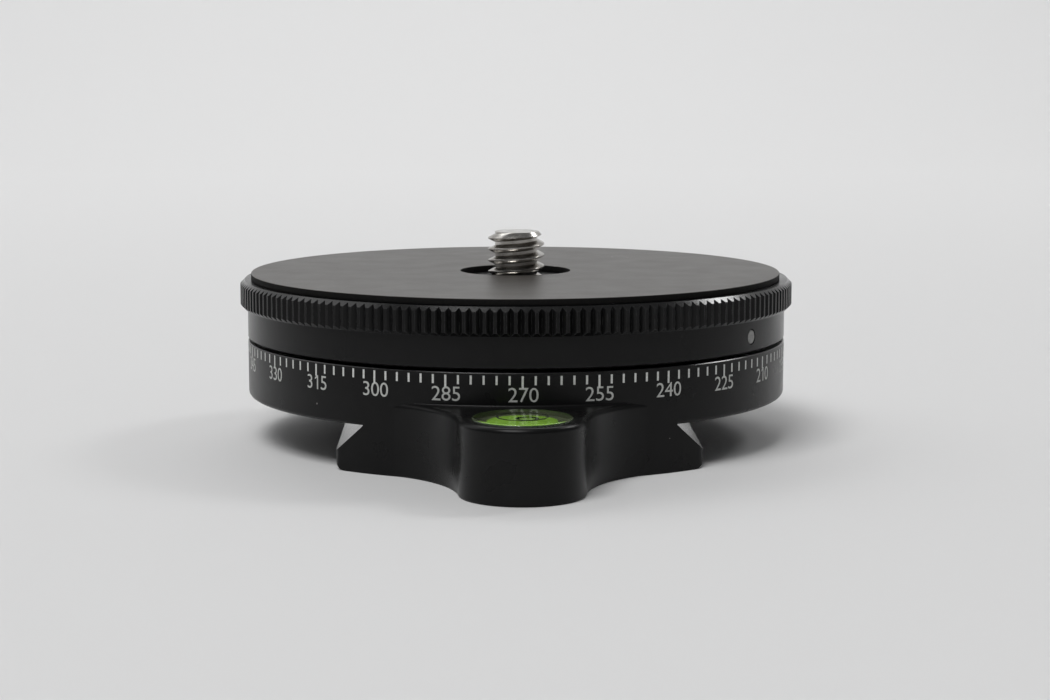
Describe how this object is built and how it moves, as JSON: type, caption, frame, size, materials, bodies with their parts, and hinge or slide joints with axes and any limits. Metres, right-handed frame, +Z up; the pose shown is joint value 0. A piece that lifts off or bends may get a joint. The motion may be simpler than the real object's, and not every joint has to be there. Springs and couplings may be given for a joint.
{
  "type": "panoramic tripod base",
  "caption": "Panoramic tripod base: knurled turntable with a threaded stud, degree scale, bullseye level, dovetail foot and a rear lock knob.",
  "frame": {"origin": "on the pan axis, in the plane of the foot's underside", "axes": "+Z up along the pan axis; -Y towards the bullseye level and +Y towards the lock knob; +X to the right as seen from the level's side"},
  "size_m": [0.062, 0.0874, 0.0229],
  "materials": {
    "black_anodised": "satin black anodised",
    "bare_aluminium": "turned, bare",
    "stainless_steel": "bright turned",
    "blackened_steel": "blackened",
    "spring_steel": "rolled",
    "brass": "turned",
    "acetal": "smooth",
    "clear_acrylic": "clear, polished",
    "level_liquid": "clear liquid",
    "lime_backing": "opaque lime green",
    "pad_rubber": "thin smooth sheet",
    "index_paint": "paint in a dimple"
  },
  "bodies": {
    "base": {"base_body": "black_anodised", "hub": "bare_aluminium", "hub_screw_1": "blackened_steel", "hub_screw_2": "blackened_steel", "hub_screw_3": "blackened_steel", "hub_screw_4": "blackened_steel", "tripod_bush": "stainless_steel", "lower_thrust_washer": "acetal", "radial_bush": "acetal", "upper_thrust_washer": "acetal", "wave_spring": "spring_steel", "level_vial": "clear_acrylic", "level_fluid": "level_liquid", "level_backing": "lime_backing"},
    "rotor": {"rotor": "black_anodised", "index_dot": "index_paint", "top_plate": "black_anodised", "top_plate_screw_1": "blackened_steel", "top_plate_screw_2": "blackened_steel", "top_plate_screw_3": "blackened_steel", "top_plate_screw_4": "blackened_steel", "top_pad": "pad_rubber", "stud": "stainless_steel"},
    "brake_shoe": {"brake_shoe": "brass"},
    "lock_knob": {"lock_screw": "blackened_steel", "lock_knob": "black_anodised", "knob_cap": "bare_aluminium"}
  },
  "joints": [
    {"name": "pan", "type": "hinge", "parent": "base", "child": "rotor", "pos_m": [0, 0, 0.0125], "axis": [0, 0, 1], "continuous": true},
    {"name": "brake_shoe_slide", "type": "slide", "parent": "base", "child": "brake_shoe", "axis": [0, 1, 0], "range_m": [-0.000233, 0.000466]},
    {"name": "lock_knob_turn", "type": "hinge", "parent": "brake_shoe", "child": "lock_knob", "pos_m": [0, 0.0339, 0.008], "axis": [0, 1, 0], "range_deg": [-120, 240]}
  ],
  "couplings": [
    {"joint": "lock_knob_turn", "follows": "brake_shoe_slide", "rad_per_m": 8976}
  ]
}
